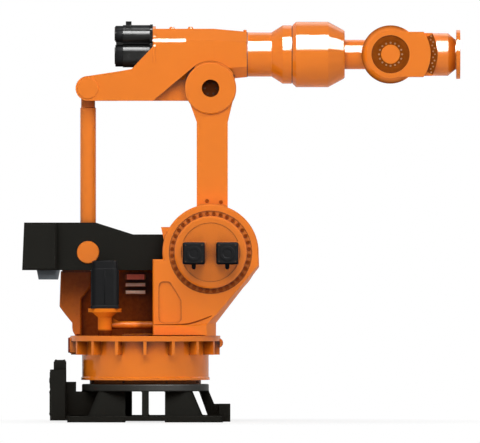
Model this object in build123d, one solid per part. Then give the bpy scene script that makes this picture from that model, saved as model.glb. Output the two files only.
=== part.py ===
from build123d import *
import os
from math import cos, radians, sin, tan

# Heavy parallel-link industrial robot arm, in millimetres, +Z up.
# The origin is on the floor, on the slewing axis. The arm points along +X.

# Joint centres
shoulder_x = 522.0
shoulder_z = 1355.0
link_length = 1310.0
crank_length = 980.0
arm_rise = 272.0
arm_reach = 1438.0
hand_length = 558.0

# Clearances
pin_clearance = 0.3
side_clearance = 10.0
open_pivot_clearance = 0.5
face_clearance = 0.3

# Base frame
pad_outer = 620.0
pad_inner = 158.0
pad_corner = 38.0
plate_lift = 11.0
plate_top = 48.0
base_bolt_spacing = 1080.0
base_bolt_radius = 16.5
leg_top = 375.0
leg_foot = 458.0
leg_corner = 70.0
ring_radius = 508.0
ring_bottom = 245.0
ring_height = 56.0
ring_bevel = 6.0
post_width = 50.0
post_top_inner = 428.0
post_foot_inner = 498.0
post_foot_outer = 590.0
anchor_length = 88.0
anchor_reach = 680.0
anchor_width = 220.0
anchor_height = 143.0
bearing_radius = 445.0
bearing_height = 33.0

# Connection panel behind the base
panel_offset = 14.0
panel_depth = 127.0
panel_width = 480.0
panel_height = 416.0
panel_gap = 11.0
panel_bevel = 10.0
socket_box_depth = 98.0
socket_box_width = 360.0
socket_box_height = 73.0
duct_gap = 4.0
duct_width = 300.0
duct_bottom = 142.0
duct_top = 318.0
duct_arm_reach = 527.0
duct_arm_gap = 15.0
duct_arm_lift = 4.0

# Turntable
drum_radius = 507.0
drum_lip = 8.0
drum_lip_height = 18.0
deck_overhang = 93.0
deck_top = 688.0
deck_thickness = 43.0
rib_count = 16
rib_thickness = 26.0
rib_depth = 109.0
rib_setback = 5.0
rib_root = 450.0
lug_inset = 13.0
lug_radius = 40.0
lug_drop = 15.0

# Shoulder cheeks
cheek_thickness = 130.0
head_radius = 384.0
head_ring_inner = 332.0
head_groove = 12.0
cheek_back_reach = 462.0
cheek_back_drop = 56.0
cheek_front_reach = 43.0
cheek_foot_height = 101.0
cheek_corner_reach = 388.0
cheek_corner_drop = 118.0
foot_overhang = 12.0
cheek_bevel = 10.0
cheek_inset = 0.5
horn_thickness = 87.0
foot_ledge_height = 86.0
foot_ledge_depth = 16.0
pocket_depth = 18.0
pocket_margin = 47.0
pocket_foot = 15.0
pocket_drop = 233.0
pocket_width = 183.0
pocket_corner = 40.0
horn_reach = 62.0
horn_height = 202.0
horn_width = 71.0
horn_root = 50.0
wall_inner = 296.0
wall_thickness = 38.0
column_inner = 228.0
column_setback = 35.0
column_depth = 50.0
column_head_depth = 128.0
column_head_low = 293.0
column_head_high = 392.0
column_lean = 124.0
column_overhang = 30.0
column_knee_height = 234.0
wall_drop = 152.0
wall_rib_length = 165.0
wall_rib_height = 34.0
wall_rib_pitch = 60.0
wall_rib_rise = 330.0
wall_rib_count = 3
wall_rib_gap = 142.0

# Gear covers and drive motors
cover_radius = 288.0
cover_thickness = 40.0
cover_bevel = 12.0
cover_recess_radius = 236.0
cover_recess = 6.0
motor_size = 168.0
motor_length = 260.0
motor_offset = 134.0
motor_drop = 8.0
motor_corner = 16.0
motor_flange_thickness = 22.0
motor_flange_margin = 5.0
motor_cap_length = 60.0
motor_cap_step = 7.0
plug_width = 34.0
plug_length = 46.0
plug_height = 30.0

# Swivel drive motor
swivel_x = -322.0
swivel_y = -342.0
swivel_size = 216.0
swivel_corner = 40.0
swivel_length = 378.0
swivel_cup_radius = 133.0
swivel_cup_height = 30.0
swivel_cup_rise = 219.0
swivel_stem_radius = 56.0
swivel_cone_height = 42.0
strut_radius = 31.0
strut_rise = 86.0
strut_shift = 35.0
gusset_height = 62.0
gusset_reach = 161.0
gusset_thickness = 24.0

# Shaft and link arm
shaft_radius = 110.0
link_hub_radius = 355.0
link_half_width = 124.0
link_offset = 13.0
link_flare_drop = 255.0
link_crotch_low = 400.0
link_crotch_high = 330.0
link_bevel = 14.0
elbow_radius = 196.0
elbow_pin_radius = 86.0
elbow_cover_radius = 205.0
elbow_cover_thickness = 22.0
elbow_hole_radius = 70.0
elbow_pin_recess = 46.0

# Counterweight lever, crank pin and rod
lever_half_depth = 120.0
lever_slot = 70.0
lever_hub_radius = 205.0
lever_half_height = 143.0
lever_rear_top = 238.0
lever_shoulder = 921.0
lever_neck = 621.0
lever_tail = 1488.0
lever_slot_back = 1387.0
lever_slot_front = 584.0
weight_reach = 1506.0
weight_length = 276.0
weight_thickness = 95.0
weight_taper = 16.0
buffer_back = 1390.0
buffer_length = 184.0
buffer_height = 75.0
crank_pin_radius = 55.0
crank_cap_radius = 89.0
crank_cap_thickness = 14.0
rod_half_width = 63.0
rod_eye_radius = 92.0
rod_socket_length = 150.0

# Upper arm
arm_half_depth = 200.0
arm_ear_radius = 99.0
arm_boss_half_depth = 110.0
arm_boss_radius = 180.0
arm_swing_radius = 219.0
arm_slot_end = 238.0
arm_body_radius = 205.0
arm_body_cut = 92.0
arm_body_round = 60.0
arm_back_reach = 462.0
arm_round_length = 265.0
arm_box_lead = 26.0
arm_nose_step = 4.0
arm_flange_depth = 24.0
arm_flange_lip = 4.0
arm_flange_half_height = 226.0
arm_flange_corner = 190.0
arm_tube_radius = 177.0
tube_length = 197.0
horn_low_reach = 258.0
horn_low_rise = 138.0
horn_mid_reach = 348.0
horn_mid_rise = 154.0
horn_top_rise = 333.0
bay_half_width = 172.0
bay_floor = 156.0
arm_pin_radius = 55.0
arm_pin_cap_radius = 84.0
arm_pin_cap_thickness = 8.0
step_slope = 40.0

# Wrist drive motors
wrist_motor_length = 300.0
wrist_motor_size = 112.0
wrist_motor_corner = 50.0
wrist_motor_spread = 62.0
wrist_motor_rise = 150.0
wrist_motor_stagger = 30.0
lower_motor_size = 186.0
lower_motor_corner = 60.0
lower_motor_drop = 10.0

# Forearm flange, wrist bell and neck
collar_cone_length = 89.0
collar_length = 72.0
collar_radius = 234.0
bell_gap = 6.0
bell_radius = 262.0
bell_barrel_length = 292.0
bell_cone_length = 132.0
bell_end_radius = 186.0
bell_edge = 10.0
bell_shoulder = 29.0
bell_seat_radius = 150.0
neck_length = 366.0
neck_radius = 118.0
core_radius = 220.0
core_half_depth = 118.0

# Wrist housing, hand and tool flange
yoke_inner = 125.0
yoke_half_depth = 200.0
yoke_radius = 232.0
yoke_rim = 42.0
yoke_rim_depth = 40.0
yoke_half_height = 180.0
yoke_reach = 320.0
web_inner = 236.0
web_half_angle = 28.0
wrist_pin_radius = 64.0
wrist_ring_radius = 152.0
wrist_ring_inner = 77.0
wrist_ring_recess = 14.0
wrist_cap_thickness = 12.0
groove_reach = 376.0
groove_half_depth = 160.0
hand_radius = 171.0
hand_end = 461.0
hand_nose_radius = 121.0
hand_nose_end = 518.0
tool_radius = 196.0
tool_thickness = 32.0
tool_pitch_radius = 157.5
tool_hole_count = 12
tool_hole_radius = 8.75
tool_hole_depth = 24.0
spigot_radius = 80.0
spigot_depth = 10.0

# Places that follow from the sizes above
ring_top = ring_bottom + ring_height
bearing_top = ring_top + bearing_height
drum_bottom = bearing_top + face_clearance
panel_inner = pad_outer + panel_offset
deck_bottom = deck_top - deck_thickness
deck_radius = drum_radius + deck_overhang
elbow_z = shoulder_z + link_length
crank_x = shoulder_x - crank_length
arm_axis_z = elbow_z + arm_rise
arm_back = shoulder_x - arm_back_reach
arm_round_end = arm_back + arm_round_length
arm_box_end = shoulder_x + arm_box_lead
wrist_x = shoulder_x + arm_reach
bell_end = wrist_x - neck_length
bell_cone_start = bell_end - bell_cone_length
collar_end = bell_cone_start - bell_barrel_length
collar_start = collar_end - collar_length
arm_tube_end = collar_start - collar_cone_length
arm_front = arm_tube_end - tube_length
link_half_depth = arm_half_depth + side_clearance
link_hub_inner = lever_half_depth + side_clearance
elbow_inner = arm_boss_half_depth + side_clearance
rod_eye_half_depth = lever_slot - side_clearance
cheek_inner = link_half_depth + side_clearance
cheek_outer = cheek_inner + cheek_thickness
cheek_back = shoulder_x - cheek_back_reach
cheek_back_top = shoulder_z - cheek_back_drop
cheek_front = shoulder_x + cheek_front_reach
cheek_front_foot = deck_top + cheek_foot_height
cheek_corner_x = shoulder_x + cheek_corner_reach
cheek_corner_z = shoulder_z - cheek_corner_drop
cover_outer = cheek_outer + cover_thickness
motor_z = shoulder_z - motor_drop
weight_outer = lever_half_depth + weight_thickness
tool_face = wrist_x + hand_length
tool_back = tool_face - tool_thickness


def at(x, z, sketch):
    """Place a side-view outline with its centre at (x, z)."""
    return Pos(x, z) * sketch


def outline(*points):
    """A closed side-view face through straight-joined points."""
    return make_face(Polyline(*points, close=True))


def slab(face, low, high):
    """Side-view outline pushed across the machine from y = low to y = high."""
    return extrude(Plane.XZ.offset(-high) * face, amount=high - low)


def both_sides(face, inner, outer):
    """The same plate on each side of the mid-plane."""
    return slab(face, inner, outer) + slab(face, -outer, -inner)


def turned(*points, height=0.0):
    """Solid of revolution about a line along X at the given height, from (x, radius) points."""
    profile = Plane.XZ * outline(*[(x, height + radius) for x, radius in points])
    return revolve(profile, Axis((0, 0, height), (1, 0, 0)))


def motor(size, length, corner):
    """Servo motor standing on the XY plane: square flange, body, stepped cap and a plug."""
    wide = size + 2 * motor_flange_margin
    flange = extrude(RectangleRounded(wide, wide, motor_corner), amount=motor_flange_thickness)
    body = extrude(RectangleRounded(size, size, corner), amount=length - motor_cap_length)
    small = size - 2 * motor_cap_step
    cap = extrude(RectangleRounded(small, small, corner - motor_cap_step), amount=length)
    plug_z = length - motor_cap_length - plug_length
    plug = Pos(0, -size / 2 - plug_height / 2, plug_z) * Box(plug_width, plug_height, plug_length)
    return flange + body + cap + plug


# Base plate with four floor pads, one bolt hole in each
def make_base_plate():
    span = 2 * pad_outer
    inset = span - 2 * panel_gap
    plate = extrude(Pos(0, 0, plate_lift) * Rectangle(inset, inset), amount=plate_top - plate_lift)
    pad_width = pad_outer - pad_inner
    pad_middle = (pad_outer + pad_inner) / 2
    for sx in (-1, 1):
        for sy in (-1, 1):
            place = Pos(sx * pad_middle, sy * pad_middle)
            plate += extrude(place * RectangleRounded(pad_width, pad_width, pad_corner), amount=plate_top)
    tongue_length = panel_inner - pad_outer + 2 * panel_gap
    tongue = Box(tongue_length, panel_width, plate_top - plate_lift)
    plate += Pos(-panel_inner + tongue_length / 2, 0, (plate_top + plate_lift) / 2) * tongue
    for sx in (-1, 1):
        for sy in (-1, 1):
            place = Pos(sx * base_bolt_spacing / 2, sy * base_bolt_spacing / 2, plate_top / 2)
            plate -= place * Cylinder(base_bolt_radius, plate_top)
    return plate


# Four flared corner legs between the plate and the ring
def make_base_legs():
    def section(outer, z):
        width = outer - pad_inner
        middle = (outer + pad_inner) / 2
        square = Rectangle(width, width)
        corner = square.vertices().group_by(Axis.X)[-1].sort_by(Axis.Y)[-1]
        return Pos(middle, middle, z) * fillet(corner, leg_corner)

    leg = loft([section(leg_foot, plate_top), section(leg_top, ring_bottom)])
    legs = [leg.rotate(Axis.Z, quarter * 90) for quarter in range(4)]
    return Compound(children=legs)


# Four slanted posts halfway between the legs
def make_base_posts():
    profile = outline(
        (post_foot_inner, plate_top),
        (post_foot_outer, plate_top),
        (ring_radius, ring_bottom),
        (post_top_inner, ring_bottom),
    )
    post = slab(profile, -post_width / 2, post_width / 2)
    posts = [post.rotate(Axis.Z, quarter * 90) for quarter in range(4)]
    return Compound(children=posts)


def make_base_ring():
    ring = extrude(Pos(0, 0, ring_bottom) * Circle(ring_radius), amount=ring_height)
    return chamfer(ring.edges().filter_by(GeomType.CIRCLE), ring_bevel)


def make_slewing_ring():
    return extrude(Pos(0, 0, ring_top) * Circle(bearing_radius), amount=bearing_height)


# Anchor block hooked over the front edge of the base plate
def make_anchor_block():
    back = anchor_reach - anchor_length
    edge = pad_outer
    profile = outline(
        (edge, 0),
        (anchor_reach, 0),
        (anchor_reach, anchor_height),
        (back, anchor_height),
        (back, plate_top),
        (edge, plate_top),
    )
    return slab(profile, -anchor_width / 2, anchor_width / 2)


# Connection panel, the socket box on top of it and the cable duct to the base
def make_connection_panel():
    middle = -panel_inner - panel_depth / 2
    height = panel_height - panel_gap
    panel = Pos(middle, 0, panel_gap + height / 2) * Box(panel_depth, panel_width, height)
    return chamfer(panel.edges().filter_by(Axis.Z), panel_bevel)


def make_socket_box():
    place = Pos(-panel_inner - socket_box_depth / 2, 0, panel_height + socket_box_height / 2)
    box = place * Box(socket_box_depth, socket_box_width, socket_box_height)
    return chamfer(box.faces().sort_by(Axis.Z)[-1].edges(), panel_bevel)


def make_cable_duct():
    post_slope = (post_foot_outer - ring_radius) / (ring_bottom - plate_top)
    end = post_foot_outer - (duct_bottom - plate_top) * post_slope + duct_gap
    back = -panel_inner
    side = outline((back, duct_bottom), (-end, duct_bottom), (-end, duct_top), (back, duct_top))
    duct = slab(side, -duct_width / 2, duct_width / 2)
    arm_end = back + duct_arm_reach
    arm_low = plate_top + duct_arm_lift
    arm_top = ring_bottom - duct_gap
    arm = outline((back, arm_low), (arm_end, arm_low), (arm_end, arm_top), (back, arm_top))
    return duct + both_sides(arm, post_width / 2 + duct_arm_gap, duct_width / 2)


# Turntable: drum, deck and the radial ribs under the deck, one casting
def make_turntable():
    lip_radius = drum_radius + drum_lip
    lip_top = drum_bottom + drum_lip_height
    profile = Plane.XZ * outline(
        (0, drum_bottom),
        (lip_radius, drum_bottom),
        (lip_radius, lip_top),
        (drum_radius, lip_top + drum_lip),
        (drum_radius, deck_bottom),
        (deck_radius, deck_bottom),
        (deck_radius, deck_top),
        (0, deck_top),
    )
    table = revolve(profile, Axis.Z)
    rib_outer = deck_radius - rib_setback
    rib_box = Box(rib_outer - rib_root, rib_thickness, rib_depth)
    rib = Pos((rib_root + rib_outer) / 2, 0, deck_bottom - rib_depth / 2) * rib_box
    for number in range(rib_count):
        table += rib.rotate(Axis.Z, number * 360 / rib_count)
    return table


# Round stop lug on the front rim of the deck
def make_swivel_stop():
    middle = deck_bottom - lug_drop
    face = at(deck_radius - rib_setback - lug_inset, middle, Circle(lug_radius))
    stop = slab(face, -lug_radius, lug_radius)
    rim = Pos(0, 0, deck_top - deck_thickness / 2) * Cylinder(deck_radius, deck_thickness)
    rib_outer = deck_radius - rib_setback
    rib = Pos(rib_outer / 2, 0, deck_bottom - rib_depth / 2) * Box(rib_outer, 4 * lug_radius, rib_depth)
    return stop - rim - rib


# Side outline shared by both shoulder cheeks, without the round head
def cheek_web():
    return outline(
        (cheek_back, deck_top),
        (cheek_front, deck_top),
        (cheek_front, cheek_front_foot),
        (cheek_corner_x, cheek_corner_z),
        (shoulder_x + head_radius - cheek_inset, shoulder_z),
        (shoulder_x, shoulder_z),
        (shoulder_x, cheek_back_top),
        (cheek_back, cheek_back_top),
    )


# Stop horn at the upper back of the head
def cheek_horn():
    left = shoulder_x - head_radius - horn_reach + horn_root
    top = shoulder_z + horn_height
    return outline(
        (left, top),
        (left + horn_width, top),
        (shoulder_x - head_radius / 2, shoulder_z),
        (left + horn_root, shoulder_z - horn_root / 2),
    )


# Shallow pocket between the back edge and the round head
def cheek_pocket():
    left = cheek_back + pocket_margin
    low = deck_top + foot_ledge_height + pocket_foot
    face = outline(
        (left, low),
        (left + pocket_width, low),
        (left + pocket_width, low + pocket_width),
        (left + pocket_width / 2, shoulder_z - pocket_drop),
        (left, shoulder_z - pocket_drop),
    )
    return fillet(face.vertices(), pocket_corner)


# Round skin that the cheek feet follow: upright along the deck's rim, then leaning out with the front edge
def cheek_skin(overhang):
    rim = deck_radius + overhang
    lean = (cheek_corner_x - cheek_front) / (cheek_corner_z - cheek_front_foot)
    top = shoulder_z + head_radius
    profile = outline(
        (0, deck_top),
        (rim, deck_top),
        (rim, cheek_front_foot),
        (rim + (top - cheek_front_foot) * lean, top),
        (0, top),
    )
    return revolve(Plane.XZ * profile, Axis.Z)


# Cheek on the far side of y = 0; the near one is its mirror image
def make_cheek():
    web = slab(cheek_web(), cheek_inner, cheek_outer)
    web = chamfer(web.faces().sort_by(Axis.Y)[-1].edges(), cheek_bevel)
    head = slab(at(shoulder_x, shoulder_z, Circle(head_radius)), cheek_inner, cheek_outer)
    head = chamfer(head.faces().sort_by(Axis.Y)[-1].edges(), cheek_bevel)
    horn = slab(cheek_horn(), cheek_inner, cheek_inner + horn_thickness)
    cheek = web + head + horn
    ledge_face = outline(
        (cheek_back, deck_top),
        (cheek_front, deck_top),
        (cheek_front, cheek_front_foot),
        (cheek_front - 2 * foot_ledge_depth, cheek_front_foot),
        (cheek_front - 2 * foot_ledge_height, deck_top + foot_ledge_height),
        (cheek_back, deck_top + foot_ledge_height),
    )
    ledge = slab(ledge_face, cheek_outer - foot_ledge_depth, cheek_outer + foot_ledge_depth)
    cheek += chamfer(ledge.faces().sort_by(Axis.Y)[-1].edges(), foot_ledge_depth / 2)
    groove = at(shoulder_x, shoulder_z, Circle(head_ring_inner) - Circle(cover_radius))
    cheek -= slab(groove, cheek_outer - head_groove, cheek_outer + head_groove)
    cheek -= slab(cheek_pocket(), cheek_outer - pocket_depth, cheek_outer + pocket_depth)
    return cheek & cheek_skin(foot_overhang)


def make_front_cheek():
    return make_cheek().mirror(Plane.XZ)


# The rear cheek also carries the back wall with its column and two ribs
def make_rear_cheek():
    wall_outer = wall_inner + wall_thickness
    wall_top = shoulder_z - wall_drop
    foot = column_setback - deck_radius
    front = foot + column_depth
    back = foot - column_lean
    wall_face = outline(
        (front, deck_top),
        (cheek_back + pocket_margin, deck_top),
        (cheek_back + pocket_margin, wall_top),
        (front, wall_top),
    )
    wall = slab(wall_face, wall_inner, wall_outer)
    column_face = outline(
        (foot, deck_top),
        (front, deck_top),
        (front, deck_top + column_head_low),
        (foot + column_head_depth, deck_top + column_head_high),
        (foot + column_head_depth, wall_top),
        (back + cheek_bevel, wall_top),
        (back, deck_top + column_knee_height),
    )
    column = slab(column_face, column_inner, wall_outer)
    column = chamfer(column.faces().sort_by(Axis.Y)[0].edges(), cheek_bevel)
    cheek = make_cheek() + wall + (column & cheek_skin(column_overhang))
    rib_face = Rectangle(wall_rib_length, wall_rib_height)
    for number in range(wall_rib_count):
        z = deck_top + wall_rib_rise + number * wall_rib_pitch + wall_rib_height / 2
        cheek += slab(at(cheek_back - wall_rib_gap, z, rib_face), column_inner, wall_outer)
    return cheek


# Gear cover on the outside of a cheek head, far side
def make_gear_cover():
    disc = slab(at(shoulder_x, shoulder_z, Circle(cover_radius)), cheek_outer, cover_outer)
    disc = chamfer(disc.faces().sort_by(Axis.Y)[-1].edges(), cover_bevel)
    recess = at(shoulder_x, shoulder_z, Circle(cover_recess_radius))
    pad_size = motor_size + 4 * motor_flange_margin
    for side in (-1, 1):
        recess -= at(shoulder_x + side * motor_offset, motor_z, Rectangle(pad_size, pad_size))
    return disc - slab(recess, cover_outer - cover_recess, cover_outer)


# Pair of shoulder motors on the far side cover
def shoulder_motors():
    drive = motor(motor_size, motor_length, motor_corner)
    pair = []
    for side in (-1, 1):
        centre = (shoulder_x + side * motor_offset, cover_outer, motor_z)
        pair.append(Plane(origin=centre, x_dir=(-1, 0, 0), z_dir=(0, 1, 0)) * drive)
    return pair


# Vertical swivel motor on its cup, stem and strut
def make_swivel_motor():
    place = Pos(swivel_x, swivel_y, deck_top + swivel_cup_rise) * Rot(0, 0, 180)
    return place * motor(swivel_size, swivel_length, swivel_corner)


def make_swivel_bracket():
    cup_top = deck_top + swivel_cup_rise
    cup_bottom = cup_top - swivel_cup_height
    cone_bottom = cup_bottom - swivel_cone_height
    profile = outline(
        (0, deck_top),
        (swivel_stem_radius, deck_top),
        (swivel_stem_radius, cone_bottom),
        (swivel_cup_radius - swivel_cup_height, cup_bottom),
        (swivel_cup_radius, cup_bottom),
        (swivel_cup_radius, cup_top),
        (0, cup_top),
    )
    stem = Pos(swivel_x, swivel_y) * revolve(Plane.XZ * profile, Axis.Z)
    length = cheek_back - swivel_x
    strut_z = deck_top + strut_rise
    strut_y = swivel_y + strut_shift
    place = Pos(swivel_x + length / 2, strut_y, strut_z) * Rot(0, 90, 0)
    strut = place * Cylinder(strut_radius, length)
    gusset_face = outline(
        (swivel_x, strut_z),
        (swivel_x + gusset_reach, strut_z),
        (swivel_x, strut_z + strut_radius + gusset_height),
    )
    gusset = slab(gusset_face, strut_y - gusset_thickness / 2, strut_y + gusset_thickness / 2)
    return stem + strut + gusset


# Fixed shaft between the cheeks, for the link arm and the lever
def make_shoulder_shaft():
    return slab(at(shoulder_x, shoulder_z, Circle(shaft_radius)), -cheek_inner, cheek_inner)


# Link arm: a box beam with a fork at each end
def make_link_arm():
    hub = at(shoulder_x, shoulder_z, Circle(link_hub_radius))
    beam_x = shoulder_x + link_offset
    beam = at(beam_x, shoulder_z + link_length / 2, Rectangle(2 * link_half_width, link_length))
    eye = Pos(shoulder_x, elbow_z) * Circle(elbow_radius)
    root = at(beam_x, elbow_z - link_flare_drop, Rectangle(2 * link_half_width, 2 * link_bevel))
    flare = make_hull(eye.edges() + root.edges())
    side = hub + beam + flare
    arm = slab(side, -link_half_depth, link_half_depth)
    for face in (arm.faces().sort_by(Axis.Y)[0], arm.faces().sort_by(Axis.Y)[-1]):
        arm = chamfer(face.outer_wire().edges(), link_bevel)
    wide = 4 * link_hub_radius
    low = at(
        shoulder_x, shoulder_z + link_crotch_low - link_length, Rectangle(wide, 2 * link_length)
    )
    arm -= slab(low, -link_hub_inner, link_hub_inner)
    high = at(shoulder_x, elbow_z - link_crotch_high + link_length, Rectangle(wide, 2 * link_length))
    arm -= slab(high, -elbow_inner, elbow_inner)
    bore = at(shoulder_x, shoulder_z, Circle(shaft_radius + pin_clearance))
    arm -= slab(bore, -link_half_depth, link_half_depth)
    elbow_bore = at(shoulder_x, elbow_z, Circle(elbow_pin_radius + pin_clearance))
    arm -= slab(elbow_bore, -link_half_depth, link_half_depth)
    return arm


def make_elbow_cover(side):
    ring = Circle(elbow_cover_radius) - Circle(elbow_hole_radius)
    cover = slab(
        at(shoulder_x, elbow_z, ring), link_half_depth, link_half_depth + elbow_cover_thickness
    )
    rim = cover.faces().sort_by(Axis.Y)[-1].outer_wire().edges()
    cover = chamfer(rim, elbow_cover_thickness / 3)
    return cover if side > 0 else cover.mirror(Plane.XZ)


def make_elbow_pin():
    reach = link_half_depth - elbow_pin_recess
    return slab(at(shoulder_x, elbow_z, Circle(elbow_pin_radius)), -reach, reach)


# Counterweight lever: two side plates joined at the hub and at the tail
def make_lever():
    low = shoulder_z - lever_half_height
    side = outline(
        (shoulder_x, low),
        (shoulder_x - lever_tail, low),
        (shoulder_x - lever_tail + weight_taper, shoulder_z + lever_rear_top),
        (shoulder_x - lever_shoulder, shoulder_z + lever_rear_top),
        (shoulder_x - lever_neck, shoulder_z + lever_half_height),
        (shoulder_x, shoulder_z + lever_half_height),
    )
    side += at(shoulder_x, shoulder_z, Circle(lever_hub_radius))
    lever = slab(side, -lever_half_depth, lever_half_depth)
    slot_length = lever_slot_back - lever_slot_front
    slot_x = shoulder_x - (lever_slot_back + lever_slot_front) / 2
    slot = at(slot_x, shoulder_z, Rectangle(slot_length, 4 * lever_rear_top))
    lever -= slab(slot, -lever_slot, lever_slot)
    bore = at(shoulder_x, shoulder_z, Circle(shaft_radius + pin_clearance))
    lever -= slab(bore, -lever_half_depth, lever_half_depth)
    pin_bore = at(crank_x, shoulder_z, Circle(crank_pin_radius + pin_clearance))
    return lever - slab(pin_bore, -lever_half_depth, lever_half_depth)


# Two counterweight slabs bolted to the sides of the lever's tail
def make_counterweight():
    back = shoulder_x - weight_reach
    low = shoulder_z - lever_half_height
    top = shoulder_z + lever_rear_top
    face = outline(
        (back, low), (back + weight_length, low), (back + weight_length, top), (back + weight_taper, top)
    )
    near = slab(face, lever_half_depth, weight_outer)
    near = chamfer(near.faces().sort_by(Axis.Y)[-1].edges(), weight_taper)
    return Compound(children=[near, near.mirror(Plane.XZ)])


def make_lever_buffer():
    left = shoulder_x - buffer_back
    top = shoulder_z - lever_half_height
    face = outline(
        (left, top),
        (left + buffer_height / 5, top - buffer_height),
        (left + buffer_length - buffer_height / 5, top - buffer_height),
        (left + buffer_length, top),
    )
    return slab(face, -lever_half_depth, lever_half_depth)


# Crank pin with a cap outside each lever plate
def make_crank_pin():
    reach = lever_half_depth + pin_clearance
    pin = slab(at(crank_x, shoulder_z, Circle(crank_pin_radius)), -reach, reach)
    cap = slab(at(crank_x, shoulder_z, Circle(crank_cap_radius)), reach, reach + crank_cap_thickness)
    cap = chamfer(cap.faces().sort_by(Axis.Y)[-1].edges(), crank_cap_thickness / 3)
    return pin + cap + cap.mirror(Plane.XZ)


# Rod eye about a pivot, with the socket that takes the rod tube
def rod_eye(z, direction, bore_radius):
    eye = slab(at(crank_x, z, Circle(rod_eye_radius)), -rod_eye_half_depth, rod_eye_half_depth)
    socket_z = z + direction * rod_socket_length / 2
    socket = Pos(crank_x, 0, socket_z) * Cylinder(rod_half_width - link_bevel / 2, rod_socket_length)
    neck = socket & slab(
        at(crank_x, socket_z, Rectangle(2 * rod_eye_radius, rod_socket_length)),
        -rod_eye_half_depth,
        rod_eye_half_depth,
    )
    bore = slab(at(crank_x, z, Circle(bore_radius)), -rod_eye_half_depth, rod_eye_half_depth)
    return eye + neck - bore


def make_rod_eye_lower():
    return rod_eye(shoulder_z, 1, crank_pin_radius + pin_clearance)


def make_rod_eye_upper():
    return rod_eye(elbow_z, -1, arm_pin_radius + open_pivot_clearance)


def make_rod_tube():
    length = link_length - 2 * rod_socket_length
    tube = Pos(crank_x, 0, shoulder_z + link_length / 2) * Cylinder(rod_half_width, length)
    return chamfer(tube.edges().filter_by(GeomType.CIRCLE), link_bevel / 2)


# Ends of the slanted step that passes just clear of the link arm's lugs
def step_x(z):
    normal = radians(90 + step_slope)
    foot_x = shoulder_x + arm_swing_radius * cos(normal)
    foot_z = elbow_z + arm_swing_radius * sin(normal)
    return foot_x + (z - foot_z) / tan(radians(step_slope))


# Outline of the arm's rear box: ear, underside, slanted step and horn
def arm_rear_side():
    floor = elbow_z - arm_ear_radius
    step_low_x = step_x(floor)
    step_high_x = step_x(arm_axis_z)
    top = elbow_z + horn_top_rise
    mid = (crank_x + horn_mid_reach, elbow_z + horn_mid_rise)
    low = (crank_x + horn_low_reach, elbow_z + horn_low_rise)
    path = [
        Line((crank_x, floor), (step_low_x, floor)),
        Line((step_low_x, floor), (step_high_x, arm_axis_z)),
        Line((step_high_x, arm_axis_z), (step_high_x, top)),
        Line((step_high_x, top), (arm_back, top)),
        Line((arm_back, top), mid),
        Line(mid, low),
        Line(low, (crank_x, elbow_z + arm_ear_radius)),
        Line((crank_x, elbow_z + arm_ear_radius), (crank_x, floor)),
    ]
    corner = make_face(path)
    return corner + at(crank_x, elbow_z, Circle(arm_ear_radius))


# Central web of the arm, between the two lugs of the link arm
def arm_web_side():
    boss = Pos(shoulder_x, elbow_z) * Circle(arm_boss_radius)
    spine = Pos(shoulder_x, arm_axis_z) * Rectangle(2 * arm_swing_radius, arm_ear_radius)
    floor = elbow_z - arm_ear_radius
    heel = outline(
        (step_x(floor) - arm_ear_radius / 2, floor),
        (shoulder_x, floor),
        (shoulder_x, arm_axis_z),
        (step_x(arm_axis_z), arm_axis_z),
    )
    return make_hull(boss.edges() + spine.edges()) + heel


# Cross-section of the arm: a box with wide bevels
def arm_section(half_depth, half_height, cut):
    return chamfer(Rectangle(2 * half_depth, 2 * half_height).vertices(), cut)


def make_arm_housing():
    side_plane = Plane(origin=(arm_back, 0, arm_axis_z), x_dir=(0, 1, 0), z_dir=(1, 0, 0))
    section = arm_section(arm_half_depth, arm_body_radius, arm_body_cut)
    shoulders = [v for v in section.vertices() if abs(v.X) > arm_half_depth - arm_body_cut / 2]
    rounded = fillet(shoulders, arm_body_round)
    box = extrude(side_plane * rounded, amount=arm_round_length)
    flange_width = 2 * (arm_half_depth + arm_flange_lip)
    flange = RectangleRounded(flange_width, 2 * arm_flange_half_height, arm_flange_corner)
    box += extrude(side_plane * flange, amount=arm_flange_depth)
    round_plane = side_plane.offset(arm_round_length)
    box += extrude(round_plane * section, amount=arm_box_end - arm_round_end)
    far_plane = side_plane.offset(arm_box_end - arm_back)
    front_plane = side_plane.offset(arm_front - arm_back)
    nose_radius = arm_tube_radius + arm_nose_step
    nose_section = arm_section(nose_radius, nose_radius, arm_body_cut * nose_radius / arm_body_radius)
    nose = loft([far_plane * section, front_plane * nose_section])
    rear = slab(arm_rear_side(), -arm_half_depth, arm_half_depth)
    wide_open = Rectangle(2 * link_length, 2 * link_length)
    ahead = at(arm_front + link_length, arm_axis_z, wide_open)
    web = slab(arm_web_side() - ahead, -arm_boss_half_depth, arm_boss_half_depth)
    swing = at(shoulder_x, elbow_z, Circle(arm_swing_radius))
    reach = arm_half_depth + side_clearance
    body = box + nose + rear
    body -= both_sides(swing, arm_boss_half_depth, reach)
    body += web
    slot = at(crank_x + arm_slot_end - link_length, elbow_z, wide_open)
    body -= slab(slot, -lever_slot, lever_slot)
    bay = at(arm_back - link_length, elbow_z + bay_floor + link_length, wide_open)
    body -= slab(bay, -bay_half_width, bay_half_width)
    elbow_bore = at(shoulder_x, elbow_z, Circle(elbow_pin_radius + pin_clearance))
    body -= slab(elbow_bore, -arm_boss_half_depth, arm_boss_half_depth)
    pin_bore = at(crank_x, elbow_z, Circle(arm_pin_radius))
    return body - slab(pin_bore, -arm_half_depth, arm_half_depth)


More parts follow.
